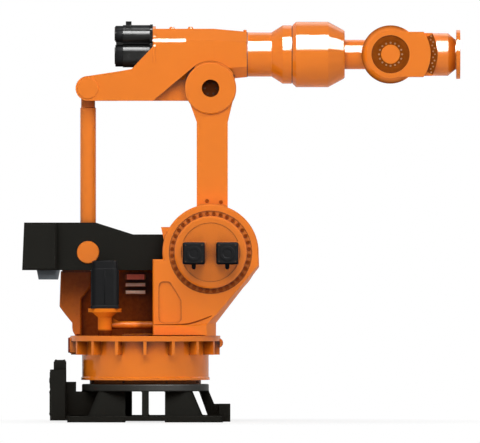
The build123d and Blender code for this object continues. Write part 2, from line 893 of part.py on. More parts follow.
# Fixed pin through the two rear ears of the arm
def make_arm_pin():
    pin = slab(at(crank_x, elbow_z, Circle(arm_pin_radius)), -arm_half_depth, arm_half_depth)
    cap_face = at(crank_x, elbow_z, Circle(arm_pin_cap_radius))
    cap = slab(cap_face, arm_half_depth, arm_half_depth + arm_pin_cap_thickness)
    cap = chamfer(cap.faces().sort_by(Axis.Y)[-1].edges(), arm_pin_cap_thickness / 2)
    return pin + cap + cap.mirror(Plane.XZ)


# Wrist motors on the back of the arm housing
def wrist_motor_place(across, rise):
    return Plane(origin=(arm_back, across, arm_axis_z + rise), x_dir=(0, 1, 0), z_dir=(-1, 0, 0))


def make_wrist_motor(side):
    drive = motor(wrist_motor_size, wrist_motor_length, wrist_motor_corner)
    rise = wrist_motor_rise + (wrist_motor_stagger if side > 0 else 0)
    return wrist_motor_place(side * wrist_motor_spread, rise) * drive


def make_lower_motor():
    drive = motor(lower_motor_size, wrist_motor_length, lower_motor_corner)
    return wrist_motor_place(0, -lower_motor_drop) * Rot(0, 0, 90) * drive


def make_forearm_tube():
    return turned(
        (arm_front, 0),
        (arm_front, arm_tube_radius),
        (arm_tube_end, arm_tube_radius),
        (arm_tube_end, 0),
        height=arm_axis_z,
    )


def make_forearm_flange():
    return turned(
        (arm_tube_end, 0),
        (arm_tube_end, arm_tube_radius),
        (collar_start, collar_radius),
        (collar_end, collar_radius),
        (collar_end, 0),
        height=arm_axis_z,
    )


# Rolling part of the wrist: bell, neck and the round core between the yoke arms
def make_wrist_bell():
    seat = collar_end + face_clearance
    rim = seat + bell_gap
    return turned(
        (seat, 0),
        (seat, bell_seat_radius),
        (rim, bell_seat_radius),
        (rim, collar_radius),
        (rim + bell_shoulder, bell_radius),
        (bell_cone_start, bell_radius),
        (bell_end - bell_edge, bell_end_radius + bell_edge),
        (bell_end, bell_end_radius),
        (bell_end, 0),
        height=arm_axis_z,
    )


def make_wrist_neck():
    neck = turned(
        (bell_end, 0), (bell_end, neck_radius), (wrist_x, neck_radius), (wrist_x, 0), height=arm_axis_z
    )
    core = slab(at(wrist_x, arm_axis_z, Circle(core_radius)), -core_half_depth, core_half_depth)
    pin = slab(
        at(wrist_x, arm_axis_z, Circle(wrist_pin_radius)), -yoke_half_depth + wrist_ring_recess,
        yoke_half_depth - wrist_ring_recess,
    )
    return neck + core + pin


# Side outline of the yoke arms that carry the hand
def yoke_side():
    block = at(
        wrist_x + yoke_reach / 2, arm_axis_z, Rectangle(yoke_reach, 2 * yoke_half_height)
    )
    return block & at(wrist_x, arm_axis_z, Circle(yoke_reach))


# Round end of one yoke arm, far side, with a wide bevel on its rim
def yoke_disc():
    profile = outline(
        (0, yoke_inner),
        (yoke_radius, yoke_inner),
        (yoke_radius, yoke_half_depth - yoke_rim_depth),
        (yoke_radius - yoke_rim, yoke_half_depth),
        (0, yoke_half_depth),
    )
    return Pos(wrist_x, 0, arm_axis_z) * revolve(profile, Axis.Y)


# Sunk band between the yoke and the hand
def band_side():
    face = at(wrist_x + groove_reach / 2, arm_axis_z, Rectangle(groove_reach, 2 * hand_radius))
    face = face & at(wrist_x, arm_axis_z, Circle(groove_reach))
    return face - at(wrist_x, arm_axis_z, Circle(yoke_reach - yoke_rim))


# Front web of the yoke: an arc round the core, opened out above and below for the neck
def web_side():
    full = at(wrist_x + groove_reach / 2, arm_axis_z, Rectangle(groove_reach, 2 * hand_radius))
    full = full & at(wrist_x, arm_axis_z, Circle(groove_reach))
    full -= at(wrist_x, arm_axis_z, Circle(web_inner))
    knee_x = wrist_x + web_inner * cos(radians(web_half_angle))
    knee_z = web_inner * sin(radians(web_half_angle))
    slope = sin(radians(web_half_angle)) * yoke_reach
    for sign in (-1, 1):
        full -= outline(
            (knee_x, arm_axis_z + sign * knee_z),
            (knee_x + slope, arm_axis_z + sign * (knee_z + slope)),
            (wrist_x, arm_axis_z + sign * (knee_z + slope)),
            (wrist_x, arm_axis_z + sign * knee_z),
        )
    return full


def make_wrist_housing():
    arms = both_sides(yoke_side(), yoke_inner, yoke_half_depth)
    discs = yoke_disc() + yoke_disc().mirror(Plane.XZ)
    band = both_sides(band_side(), yoke_inner, groove_half_depth)
    web = slab(web_side(), -yoke_inner, yoke_inner)
    housing = arms + discs + band + web
    ring = at(wrist_x, arm_axis_z, Circle(wrist_ring_radius) - Circle(wrist_pin_radius + pin_clearance))
    housing -= both_sides(ring, yoke_half_depth - wrist_ring_recess, yoke_half_depth)
    bore = at(wrist_x, arm_axis_z, Circle(wrist_pin_radius + pin_clearance))
    return housing - slab(bore, -yoke_half_depth, yoke_half_depth)


# Round cap in the middle of each wrist side
def make_wrist_cover(side):
    inner = yoke_half_depth - wrist_ring_recess + face_clearance
    cap = slab(at(wrist_x, arm_axis_z, Circle(wrist_ring_inner)), inner, inner + wrist_cap_thickness)
    cap = chamfer(cap.faces().sort_by(Axis.Y)[-1].edges(), wrist_cap_thickness / 3)
    return cap if side > 0 else cap.mirror(Plane.XZ)


# Hand with the last gear, behind the tool flange
def make_hand_housing():
    hand = turned(
        (wrist_x, 0),
        (wrist_x, hand_radius),
        (wrist_x + hand_end, hand_radius),
        (wrist_x + hand_nose_end, hand_nose_radius),
        (wrist_x + hand_nose_end, 0),
        height=arm_axis_z,
    )
    hollow = slab(at(wrist_x, arm_axis_z, Circle(groove_reach)), -2 * hand_radius, 2 * hand_radius)
    return hand - hollow


# Tool flange with its bolt circle and centring recess
def make_tool_flange():
    hub_back = wrist_x + hand_nose_end + face_clearance
    flange = turned(
        (hub_back, 0),
        (hub_back, hand_nose_radius),
        (tool_back, hand_nose_radius),
        (tool_back, tool_radius),
        (tool_face, tool_radius),
        (tool_face, spigot_radius),
        (tool_face - spigot_depth, spigot_radius),
        (tool_face - spigot_depth, 0),
        height=arm_axis_z,
    )
    face = Plane(origin=(tool_face, 0, arm_axis_z), x_dir=(0, 1, 0), z_dir=(1, 0, 0))
    for spot in PolarLocations(tool_pitch_radius, tool_hole_count):
        flange -= extrude(face * spot * Circle(tool_hole_radius), amount=-tool_hole_depth)
    return flange


def mirrored(shape):
    return shape.mirror(Plane.XZ)


nodes = {
    "base_plate": make_base_plate(),
    "base_legs": make_base_legs(),
    "base_posts": make_base_posts(),
    "base_ring": make_base_ring(),
    "slewing_ring": make_slewing_ring(),
    "anchor_block": make_anchor_block(),
    "connection_panel": make_connection_panel(),
    "socket_box": make_socket_box(),
    "cable_duct": make_cable_duct(),
    "turntable": make_turntable(),
    "swivel_stop": make_swivel_stop(),
    "front_cheek": make_front_cheek(),
    "rear_cheek": make_rear_cheek(),
    "front_gear_cover": mirrored(make_gear_cover()),
    "rear_gear_cover": make_gear_cover(),
    "front_motors": Compound(children=[mirrored(drive) for drive in shoulder_motors()]),
    "rear_motors": Compound(children=shoulder_motors()),
    "swivel_motor": make_swivel_motor(),
    "swivel_bracket": make_swivel_bracket(),
    "shoulder_shaft": make_shoulder_shaft(),
    "link_arm": make_link_arm(),
    "elbow_cover_front": make_elbow_cover(-1),
    "elbow_cover_rear": make_elbow_cover(1),
    "elbow_pin": make_elbow_pin(),
    "counterweight_lever": make_lever(),
    "counterweight": make_counterweight(),
    "lever_buffer": make_lever_buffer(),
    "crank_pin": make_crank_pin(),
    "rod_tube": make_rod_tube(),
    "rod_eye_lower": make_rod_eye_lower(),
    "rod_eye_upper": make_rod_eye_upper(),
    "arm_housing": make_arm_housing(),
    "arm_pin": make_arm_pin(),
    "wrist_motor_front": make_wrist_motor(-1),
    "wrist_motor_rear": make_wrist_motor(1),
    "wrist_motor_lower": make_lower_motor(),
    "forearm_tube": make_forearm_tube(),
    "forearm_flange": make_forearm_flange(),
    "wrist_bell": make_wrist_bell(),
    "wrist_neck": make_wrist_neck(),
    "wrist_housing": make_wrist_housing(),
    "wrist_cover_front": make_wrist_cover(-1),
    "wrist_cover_rear": make_wrist_cover(1),
    "hand_housing": make_hand_housing(),
    "tool_flange": make_tool_flange(),
}

os.makedirs("parts", exist_ok=True)
for name, shape in nodes.items():
    export_step(shape, f"parts/{name}.step")
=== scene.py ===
import math

import bmesh
import bpy
from mathutils import Matrix, Vector


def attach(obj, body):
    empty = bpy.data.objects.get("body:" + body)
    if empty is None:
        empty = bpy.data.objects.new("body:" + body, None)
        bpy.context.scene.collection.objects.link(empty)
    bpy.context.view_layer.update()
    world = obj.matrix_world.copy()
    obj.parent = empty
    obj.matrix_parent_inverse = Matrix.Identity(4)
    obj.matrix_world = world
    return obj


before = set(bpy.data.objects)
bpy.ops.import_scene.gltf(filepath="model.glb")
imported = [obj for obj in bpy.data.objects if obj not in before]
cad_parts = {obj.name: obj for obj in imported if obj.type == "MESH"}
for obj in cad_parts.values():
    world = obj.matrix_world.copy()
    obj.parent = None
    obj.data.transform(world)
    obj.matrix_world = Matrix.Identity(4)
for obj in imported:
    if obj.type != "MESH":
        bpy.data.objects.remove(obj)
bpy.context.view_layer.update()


# Base casting: plate with floor pads, flared legs, slanted posts, ring and the front anchor block.
# Cast steel under a tough satin black enamel, with rippled weld beads round the legs and posts.
# A small welded rib ties the front post to the anchor block.
class Value:
    """A shader socket that can be used in plain sums."""

    def __init__(self, tree, socket=None):
        self.tree = tree
        self.socket = socket

    def node(self, kind, settings=None, sockets=None, out=0):
        """Any other node, from its type, its settings and what goes into its sockets."""
        made = self.tree.nodes.new(kind)
        for name, setting in (settings or {}).items():
            setattr(made, name, setting)
        for key, value in (sockets or {}).items():
            if isinstance(value, Value):
                self.tree.links.new(value.socket, made.inputs[key])
            else:
                made.inputs[key].default_value = value
        return Value(self.tree, made.outputs[out] if made.outputs else None)

    def maths(self, operation, first, second):
        return self.node("ShaderNodeMath", {"operation": operation}, {0: first, 1: second})

    def __add__(self, other):
        return self.maths("ADD", self, other)

    __radd__ = __add__

    def __sub__(self, other):
        return self.maths("SUBTRACT", self, other)

    def __rsub__(self, other):
        return self.maths("SUBTRACT", other, self)

    def __mul__(self, other):
        return self.maths("MULTIPLY", self, other)

    __rmul__ = __mul__

    def part(self, axis):
        """X, Y or Z of a place."""
        return self.node("ShaderNodeSeparateXYZ", {}, {0: self}, axis)

    def noise(self, scale, detail=2.0):
        """Cloudy noise over a place."""
        wanted = {"Vector": self, "Scale": scale, "Detail": detail}
        return self.node("ShaderNodeTexNoise", {"noise_dimensions": "3D"}, wanted, "Fac")

    def ramp(self, low, high):
        """Straight step from 0 at low to 1 at high."""
        wanted = {0: self, 1: low, 2: high, 3: 0.0, 4: 1.0}
        return self.node("ShaderNodeMapRange", {"clamp": True}, wanted, "Result")

    def tint(self, first, second):
        """Colour that goes from first to second as this value goes from 0 to 1."""
        return self.node("ShaderNodeMix", {"data_type": "RGBA"}, {0: self, 6: first, 7: second}, 2)


def blank(name):
    """New material with an empty node tree."""
    material = bpy.data.materials.new(name)
    material.use_nodes = True
    material.node_tree.nodes.clear()
    return material, Value(material.node_tree)


def finish_surface(net, colour, rough, normal, fixed):
    """Principled shader with its constants on its own sockets."""
    sockets = {"Base Color": colour, "Roughness": rough, "Normal": normal, **fixed}
    shader = net.node("ShaderNodeBsdfPrincipled", {}, sockets, "BSDF")
    net.node("ShaderNodeOutputMaterial", {}, {"Surface": shader})


def darker(colour, share):
    """The same colour with only a share of its light."""
    return tuple(share * channel for channel in colour[:3]) + (1.0,)


def enamel(name, colour, shade, light, rough, peel, fixed, painted_shade_mask=None, painted_shade_colour=None):
    """Sprayed paint: cloudy tone, peel, painted shade in corners, edges lightened as part wear and
    part painted highlight, and a painted-shade mask if asked.
    """
    material, net = blank(name)
    place = net.node("ShaderNodeTexCoord", {}, {}, "Object")
    true_normal = net.node("ShaderNodeNewGeometry", {}, {}, "Normal")
    round_normal = net.node("ShaderNodeBevel", {"samples": 4}, {"Radius": 0.006})
    both = {0: true_normal, 1: round_normal}
    flat = net.node("ShaderNodeVectorMath", {"operation": "DOT_PRODUCT"}, both, "Value")
    edge = (1 - flat).ramp(0.04, 0.30)
    cloud = place.noise(2.2, 3.0)
    fleck = place.noise(38.0, 4.0)
    grain = place.noise(420.0)
    # Ambient occlusion darkens corners, creases and recesses towards the shade colour: painted
    # shade.
    open_air = net.node("ShaderNodeAmbientOcclusion", {"samples": 8}, {"Distance": 0.55}, "AO")
    corner = (1 - open_air).ramp(0.36, 0.80) * (0.88 + fleck * 0.24)
    tone = cloud.ramp(0.3, 0.7).tint(colour, darker(colour, 0.95))
    # Where the mask says, the paint goes towards a dark brown and loses its gloss: painted shade.
    if painted_shade_mask:
        shade_share = painted_shade_mask(place) * (0.85 + fleck * 0.3)
        tone = shade_share.tint(tone, painted_shade_colour)
        fixed = dict(fixed, **{"Coat Weight": (1 - shade_share).ramp(0.0, 1.0) * fixed["Coat Weight"]})
    corner_shaded = corner.tint(tone, shade)
    # Edges go towards the light colour: part rubbed wear, part painted highlight on the rims.
    worn_and_highlit_edges = (edge * fleck.ramp(0.35, 0.65) * 0.7).tint(corner_shaded, light)
    roughness = rough + fleck.ramp(0.3, 0.7) * 0.08 + corner * 0.2
    wanted = {"Strength": peel, "Distance": 0.0012, "Height": grain, "Normal": round_normal}
    normal = net.node("ShaderNodeBump", {}, wanted)
    finish_surface(net, worn_and_highlit_edges, roughness, normal, fixed)
    return material


# Black: its own colour, the painted-shade colour for corners, and a light edge colour that is part
# wear, part painted glint.
black = (0.0185, 0.0180, 0.0155, 1), (0.010, 0.008, 0.006, 1), (0.110, 0.107, 0.098, 1)
black_enamel = enamel("black_enamel", *black, 0.55, 0.10, {"Specular IOR Level": 0.0})
ring_enamel = enamel("ring_enamel", *black, 0.45, 0.10, {"Specular IOR Level": 0.08})


def coat(material, *names):
    """Lay one finish on CAD nodes."""
    for name in names:
        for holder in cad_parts[name].material_slots:
            holder.material = material


coat(black_enamel, "base_plate", "base_legs", "base_posts", "anchor_block")
coat(ring_enamel, "base_ring")


def piece(name, body, material, shape, sharp=35.0):
    """Turn a finished bmesh into a named piece that rides on a body."""
    bmesh.ops.recalc_face_normals(shape, faces=shape.faces)
    for face in shape.faces:
        face.smooth = True
    for edge in shape.edges:
        edge.smooth = len(edge.link_faces) == 2 and edge.calc_face_angle() < math.radians(sharp)
    mesh = bpy.data.meshes.new(name)
    shape.to_mesh(mesh)
    shape.free()
    made = bpy.data.objects.new(name, mesh)
    bpy.context.scene.collection.objects.link(made)
    mesh.materials.append(material)
    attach(made, body)


def skin(shape, rings, loop=False):
    """Join rings of points into one tube, closed at both ends or looped back on itself."""
    rows = [[shape.verts.new(point) for point in ring] for ring in rings]
    pairs = list(zip(rows, rows[1:])) + ([(rows[-1], rows[0])] if loop else [])
    for near, far in pairs:
        for spot in range(len(near)):
            after = (spot + 1) % len(near)
            shape.faces.new((near[spot], near[after], far[after], far[spot]))
    if not loop:
        shape.faces.new(rows[0][::-1])
        shape.faces.new(rows[-1])


def full_turn(count):
    """Angles of even steps round a circle."""
    return [2 * math.pi * number / count for number in range(count)]


def weld_bead(shape, path, radius=0.0055):
    """Rippled weld run along a closed floor outline, lying in its corner."""
    step = 0.009
    points = []
    for start, end in zip(path, path[1:] + path[:1]):
        count = max(1, round((end - start).length / step))
        points += [start.lerp(end, number / count) for number in range(count)]
    rings = []
    for number, point in enumerate(points):
        ahead = (points[(number + 1) % len(points)] - points[number - 1]).normalized()
        side = ahead.cross(Vector((0, 0, 1))).normalized()
        size = radius * (1 + 0.16 * math.sin(number * 2.1))
        rings.append([
            point + side * size * math.cos(a) + Vector((0, 0, size * math.sin(a)))
            for a in full_turn(6)
        ])
    skin(shape, rings, loop=True)


def leg_outline(inner, outer, corner, height):
    """Foot or top of one leg: a square with its outer corner rounded."""
    middle = outer - corner
    arc = [math.radians(15 * number) for number in range(7)]
    plan = [(inner, inner), (outer, inner)]
    plan += [(middle + corner * math.cos(a), middle + corner * math.sin(a)) for a in arc]
    plan.append((inner, outer))
    return [Vector((x, y, height)) for x, y in plan]


plate_top, ring_bottom = 0.048, 0.245
leg_inner, leg_corner, post_half = 0.158, 0.070, 0.025
welds = bmesh.new()
for quarter in range(4):
    turn = Matrix.Rotation(math.radians(90 * quarter), 3, "Z")
    for leg_outer, z in ((0.458, plate_top), (0.375, ring_bottom)):
        outline = leg_outline(leg_inner, leg_outer, leg_corner, z)
        weld_bead(welds, [turn @ point for point in outline])
    for near, far, z in ((0.498, 0.590, plate_top), (0.428, 0.504, ring_bottom)):
        post = ((near, -post_half), (far, -post_half), (far, post_half), (near, post_half))
        weld_bead(welds, [turn @ Vector((x, y, z)) for x, y in post])
piece("base_welds", "base", black_enamel, welds, sharp=70)
rib_side = ((0.546, 0.140), (0.549, 0.143), (0.594, 0.143), (0.594, 0.048), (0.586, 0.048))
rib_x, rib_z = 0.570, 0.110
anchor_rib = bmesh.new()
skin(anchor_rib, [
    [Vector((x + inset * (rib_x - x), y, z + inset * (rib_z - z))) for x, z in rib_side]
    for y, inset in ((-0.020, 0.08), (-0.018, 0), (0.018, 0), (0.020, 0.08))
])
piece("anchor_rib", "base", black_enamel, anchor_rib)


# Screws of the whole machine: socket head cap screws of blackened steel, turned and broached.
# Each head stands on its seat, with a chamfered rim and a six-sided socket.
def metal(name, colour, rough, streak, fixed):
    """Turned or ground bare metal with fine streaks and an oily, uneven gloss."""
    material, net = blank(name)
    place = net.node("ShaderNodeTexCoord", {}, {}, "Object")
    oil = place.noise(14.0, 3.0)
    brush = place.noise(260.0, 3.0)
    dull = oil.ramp(0.35, 0.7) * 0.5 + brush.ramp(0.3, 0.7) * 0.3
    wanted = {"Strength": streak, "Distance": 0.0008, "Height": brush}
    normal = net.node("ShaderNodeBump", {}, wanted)
    finish_surface(net, dull.tint(colour, darker(colour, 0.6)), rough + oil * 0.16, normal, fixed)
    return material


screw_steel = metal(
    "screw_steel", (0.036, 0.017, 0.009, 1), 0.40, 0.12,
    {"Metallic": 0.2, "Specular IOR Level": 0.08},
)


def facing(axis):
    """Turn that takes +Z to the given axis."""
    return Vector(axis).to_track_quat("Z", "Y").to_matrix()


def polar(reach, angle, level):
    """Point at a reach and an angle about +Z, at a level along it."""
    return Vector((reach * math.cos(angle), reach * math.sin(angle), level))


def circle_of(count, radius, centre, axis, start=0.0, lift=0.0):
    """Points on a circle about an axis, lifted along it."""
    turn = facing(axis)
    return [Vector(centre) + turn @ polar(radius, start + a, lift) for a in full_turn(count)]


def turned_on(shape, centre, axis, profile, sides, loop=False):
    """Lathe a profile of (height along the axis, radius) points."""
    rings = [circle_of(sides, radius, centre, axis, lift=height) for height, radius in profile]
    skin(shape, rings, loop)


def cap_screw(shape, seat, axis, radius, height):
    """One socket head: chamfered cylinder with a hexagonal socket."""
    turn = facing(axis)
    half_side = math.pi / 6

    def ring(size, level, six=False):
        points = []
        for angle in full_turn(18):
            reach = size
            if six:
                within = (angle + half_side) % (math.pi / 3) - half_side
                reach = size * math.cos(half_side) / math.cos(within)
            points.append(Vector(seat) + turn @ polar(reach, angle, level))
        return points

    skin(shape, [
        ring(radius, 0), ring(radius, 0.82 * height), ring(0.90 * radius, height),
        ring(0.62 * radius, height, True), ring(0.60 * radius, 0.96 * height, True),
        ring(0.58 * radius, 0.45 * height, True),
    ])


def screws(name, body, places, radius, height, material=screw_steel):
    """A set of like screws as one piece; places are (seat, axis) pairs."""
    shape = bmesh.new()
    for seat, axis in places:
        cap_screw(shape, seat, axis, radius, height)
    piece(name, body, material, shape)


# Connection panel with its socket box and cable duct: folded sheet-steel boxes in black enamel.
# The outer face carries a screwed cover, two flat plug covers and three capped round sockets.
coat(black_enamel, "connection_panel", "socket_box", "cable_duct")
panel_face = -0.761
black_plastic = enamel(
    "black_plastic", (0.020, 0.020, 0.021, 1), (0.008, 0.008, 0.008, 1), (0.05, 0.05, 0.05, 1),
    0.50, 0.20, {"Specular IOR Level": 0.05},
)


def slab(shape, centre, size, bevel):
    """Box with rounded edges."""
    made = bmesh.ops.create_cube(shape, size=1.0)
    bmesh.ops.scale(shape, vec=Vector(size), verts=made["verts"])
    bmesh.ops.translate(shape, vec=Vector(centre), verts=made["verts"])
    edges = list({edge for vert in made["verts"] for edge in vert.link_edges})
    bmesh.ops.bevel(shape, geom=edges, offset=bevel, segments=2, profile=0.5, affect="EDGES")


cover = bmesh.new()
slab(cover, (panel_face, 0, 0.150), (0.008, 0.400, 0.200), 0.0025)
slab(cover, (-0.683, 0, 0.4905), (0.086, 0.340, 0.005), 0.002)
piece("panel_cover", "base", black_enamel, cover)
sockets = bmesh.new()
for y in (-0.115, 0.015):
    slab(sockets, (panel_face, y, 0.330), (0.008, 0.104, 0.058), 0.0025)
    slab(sockets, (panel_face - 0.001, y, 0.330), (0.012, 0.080, 0.036), 0.0025)
for number in range(3):
    centre = (panel_face, 0.125 + 0.040 * (number % 2), 0.285 + 0.045 * number)
    turned_on(sockets, centre, (-1, 0, 0), [
        (0, 0.020), (0.005, 0.020), (0.006, 0.019), (0.006, 0.015), (0.004, 0.014), (0.004, 0.003),
    ], 24)
piece("panel_sockets", "base", black_plastic, sockets)
cover_corners = [(panel_face - 0.004, y, z) for y in (-0.185, 0, 0.185) for z in (0.064, 0.236)]
box_corners = [(x, y, 0.493) for x in (-0.716, -0.650) for y in (-0.155, 0.155)]
panel_seats = [(seat, (-1, 0, 0)) for seat in cover_corners]
panel_seats += [(seat, (0, 0, 1)) for seat in box_corners]
screws("panel_screws", "base", panel_seats, 0.0065, 0.003)


# Slewing ring: the steel bearing that carries the drum on the base, bare and browned by old grease,
# with its brown painted lighter to make up for the shade it sits in.
# Eight grease nipples of blackened steel are screwed into its rim.
greased_steel_painted_light = metal(
    "greased_steel_painted_light", (0.230, 0.068, 0.018, 1), 0.45, 0.08, {"Specular IOR Level": 0.06},
)
coat(greased_steel_painted_light, "slewing_ring")
nipples = bmesh.new()
for spot in circle_of(8, 0.4445, (0, 0, 0.318), (0, 0, 1), math.radians(22.5)):
    outward = Vector((spot.x, spot.y, 0)).normalized()
    turned_on(nipples, spot, outward, [
        (0, 0.0065), (0.006, 0.0065), (0.006, 0.0040), (0.011, 0.0040),
        (0.013, 0.0052), (0.016, 0.0052), (0.018, 0.003),
    ], 12)
piece("grease_nipples", "base", screw_steel, nipples)


# Turntable: one iron casting of drum, deck and ribs, with its swivel stop, sprayed gloss orange.
# A round hatch, screwed to the deck between the cheeks, closes the hollow where the cables rise.
def orange(
    name, gloss=0.5, gloss_blur=0.05, shade=(0.070, 0.012, 0.002, 1), painted_shade_mask=None, painted_shade_colour=None,
):
    """Orange enamel with a clear coat on top."""
    fixed = {
        "Specular IOR Level": 0.0,
        "Coat Weight": gloss, "Coat Roughness": gloss_blur, "Coat IOR": 1.5,
    }
    # The light colour lightens edges: part wear, part painted highlight.
    colour, light = (0.800, 0.195, 0.012, 1), (0.900, 0.300, 0.060, 1)
    return enamel(name, colour, shade, light, 0.40, 0.04, fixed, painted_shade_mask, painted_shade_colour)


orange_enamel = orange("orange_enamel")
coat(orange_enamel, "turntable", "swivel_stop")
hatch = bmesh.new()
turned_on(hatch, (0, 0, 0.688), (0, 0, 1), [
    (0, 0.190), (0.009, 0.190), (0.012, 0.187), (0.012, 0.130), (0.016, 0.124), (0.016, 0.020),
], 64)
piece("deck_hatch", "turret", orange_enamel, hatch)
hatch_seats = [(seat, (0, 0, 1)) for seat in circle_of(12, 0.160, (0, 0, 0.700), (0, 0, 1))]
screws("hatch_screws", "turret", hatch_seats, 0.009, 0.006, orange_enamel)


# Stop lug: an orange block cast under the deck's rear rim, with a dark red-brown polyurethane pad
# whose darkness is partly painted shade.
# The pad is bonded to its face and softens the knock when the arm is driven too far.
pad_plastic_painted_shade = enamel(
    "pad_plastic_painted_shade", (0.190, 0.030, 0.016, 1), (0.050, 0.010, 0.006, 1), (0.230, 0.045, 0.025, 1),
    0.60, 0.20, {"Specular IOR Level": 0.02},
)
pad_face = (
    (-0.85, -1), (0.85, -1), (1, -0.88), (1, 0.88), (0.85, 1), (-0.85, 1), (-1, 0.88), (-1, -0.88),
)
pad_height = 0.612
plate, pad = bmesh.new(), bmesh.new()
for shape, levels in (
    (plate, ((-0.530, 0.064, 0.065), (-0.6015, 0.064, 0.065), (-0.6030, 0.0625, 0.0635))),
    (pad, ((-0.602, 0.058, 0.062), (-0.615, 0.055, 0.060), (-0.618, 0.050, 0.056))),
):
    skin(shape, [
        [Vector((x, y * wide, pad_height + z * tall)) for y, z in pad_face]
        for x, wide, tall in levels
    ])
piece("stop_plate", "turret", orange_enamel, plate)
piece("stop_pad", "turret", pad_plastic_painted_shade, pad)


# Shoulder cheeks: big castings bolted to the deck; the rear one carries the back wall and column.
# Oiled cap screws in the groove round each gear cover hold the gear; a pressed trim caps the wall.
# Three flat rails lie across the wall: the lower two are pale steel that paints the highlights on
# the wall's ribs, and the top one is a light red painted bright enough to show through the lever's
# shadow; a bead of dark sealer, partly painted shadow, runs along each foot.
joint_x = 0.522
shoulder = Vector((joint_x, 0, 1.355))


def squared_reach(place, centre):
    """Square of the distance from a centre, as seen from the side."""
    along, height = place.part("X") - centre.x, place.part("Z") - centre.z
    return along * along + height * height


def cheek_painted_shade(place):
    """Painted shade in the bay, heaviest on the wall, and in the lower half of the screw groove."""
    across, height = place.part("Y"), place.part("Z")
    inside = across.ramp(0.200, 0.220) * (1 - across.ramp(0.305, 0.318))
    wall = across.ramp(0.240, 0.285)
    bay = wall * 0.90 + (1 - wall) * (0.28 + height.ramp(0.72, 1.08) * 0.48)
    reach = squared_reach(place, shoulder)
    groove = reach.ramp(0.286 ** 2, 0.290 ** 2) * (1 - reach.ramp(0.330 ** 2, 0.334 ** 2))
    outer = (across * across).ramp(0.330 ** 2, 0.336 ** 2)
    return inside * bay + groove * outer * (1 - height.ramp(1.05, 1.40)) * 0.50


# The cheeks go dark brown in the bay and low in the groove: painted shade.
cheek_enamel = orange("cheek_enamel", painted_shade_mask=cheek_painted_shade, painted_shade_colour=(0.170, 0.030, 0.003, 1))
coat(cheek_enamel, "front_cheek", "rear_cheek")
channel = (
    (0.2950, 1.1930), (0.2950, 1.2090), (0.2965, 1.2135), (0.3010, 1.2165),
    (0.3290, 1.2165), (0.3335, 1.2135), (0.3350, 1.2090), (0.3350, 1.1930),
    (0.3341, 1.1930), (0.3341, 1.2031), (0.2959, 1.2031), (0.2959, 1.1930),
)
lid = (
    (0.2400, 1.2031), (0.2400, 1.2110), (0.2440, 1.2165),
    (0.3290, 1.2165), (0.3330, 1.2110), (0.3330, 1.2031),
)
trim = bmesh.new()
for outline, stations in (
    (channel, (-0.434, -0.430, 0.054, 0.058)), (lid, (-0.668, -0.664, -0.442, -0.438)),
):
    skin(trim, [[Vector((x, y, z)) for y, z in outline] for x in stations])
piece("wall_trim", "turret", cheek_enamel, trim)
# The bead's dark brown is partly painted shadow: it draws the shadow line where the cheek meets its
# foot.
dark_sealer_and_shadow = enamel(
    "dark_sealer_and_shadow", (0.300, 0.062, 0.006, 1), (0.05, 0.012, 0.003, 1), (0.36, 0.08, 0.01, 1),
    0.60, 0.20, {"Specular IOR Level": 0.0},
)
foot_line = (
    (0.074, 0.7775), (0.180, 0.7775), (0.290, 0.7785), (0.345, 0.7850),
    (0.400, 0.7990), (0.450, 0.8160), (0.495, 0.8330), (0.535, 0.8500),
)
last = len(foot_line) - 1
foot_beads = bmesh.new()
for side in (-1, 1):
    path = [Vector((x, side * 0.350, z)) for x, z in foot_line]
    rings = []
    for number, point in enumerate(path):
        ahead = (path[min(number + 1, last)] - path[max(number - 1, 0)]).normalized()
        rise = Vector((-ahead.z, 0, ahead.x))
        size = 0.0055 if 0 < number < last else 0.0020
        rings.append([
            point + Vector((0, size * math.cos(a), 0)) + rise * (size * math.sin(a))
            for a in full_turn(8)
        ])
    skin(foot_beads, rings)
piece("foot_beads", "turret", dark_sealer_and_shadow, foot_beads, sharp=70)
ring_screws = []
for side in (-1, 1):
    outward, centre = (0, side, 0), shoulder + Vector((0, side * 0.338, 0))
    seats = circle_of(36, 0.310, centre, outward, math.radians(5))
    ring_screws += [(seat, outward) for seat in seats]
oiled_steel = metal(
    "oiled_steel", (0.360, 0.072, 0.007, 1), 0.60, 0.15, {"Specular IOR Level": 0.0},
)
screws("shoulder_ring_screws", "turret", ring_screws, 0.0135, 0.015, oiled_steel)
rail_x, rail_y, rail_thick, rail_bevel = -0.080, 0.226, 0.004, 0.0012
# Pale steel for the lower rails: painted highlight on the ribs.
rail_steel_painted_highlight = metal(
    "rail_steel_painted_highlight", (0.85, 0.56, 0.43, 1), 0.50, 0.06, {"Metallic": 0.2, "Specular IOR Level": 0.1},
)
rails = bmesh.new()
for z in (1.035, 1.095):
    slab(rails, (rail_x, rail_y, z), (0.156, rail_thick, 0.026), rail_bevel)
piece("wall_rails", "turret", rail_steel_painted_highlight, rails)
# Light red for the top rail, bright enough to show in the lever's shadow: painted light.
rail_primer_painted_light = metal(
    "rail_primer_painted_light", (0.90, 0.23, 0.17, 1), 0.60, 0.06, {"Specular IOR Level": 0.02},
)
top_rail = bmesh.new()
slab(top_rail, (rail_x, rail_y, 1.157), (0.140, rail_thick, 0.042), rail_bevel)
piece("wall_rail_top", "turret", rail_primer_painted_light, top_rail)


# Gear covers: turned discs with a chamfered rim that close the gears, sprayed with the cheeks.
# Each has a shallow turned face on which the two shoulder motors stand.
coat(orange_enamel, "front_gear_cover", "rear_gear_cover")


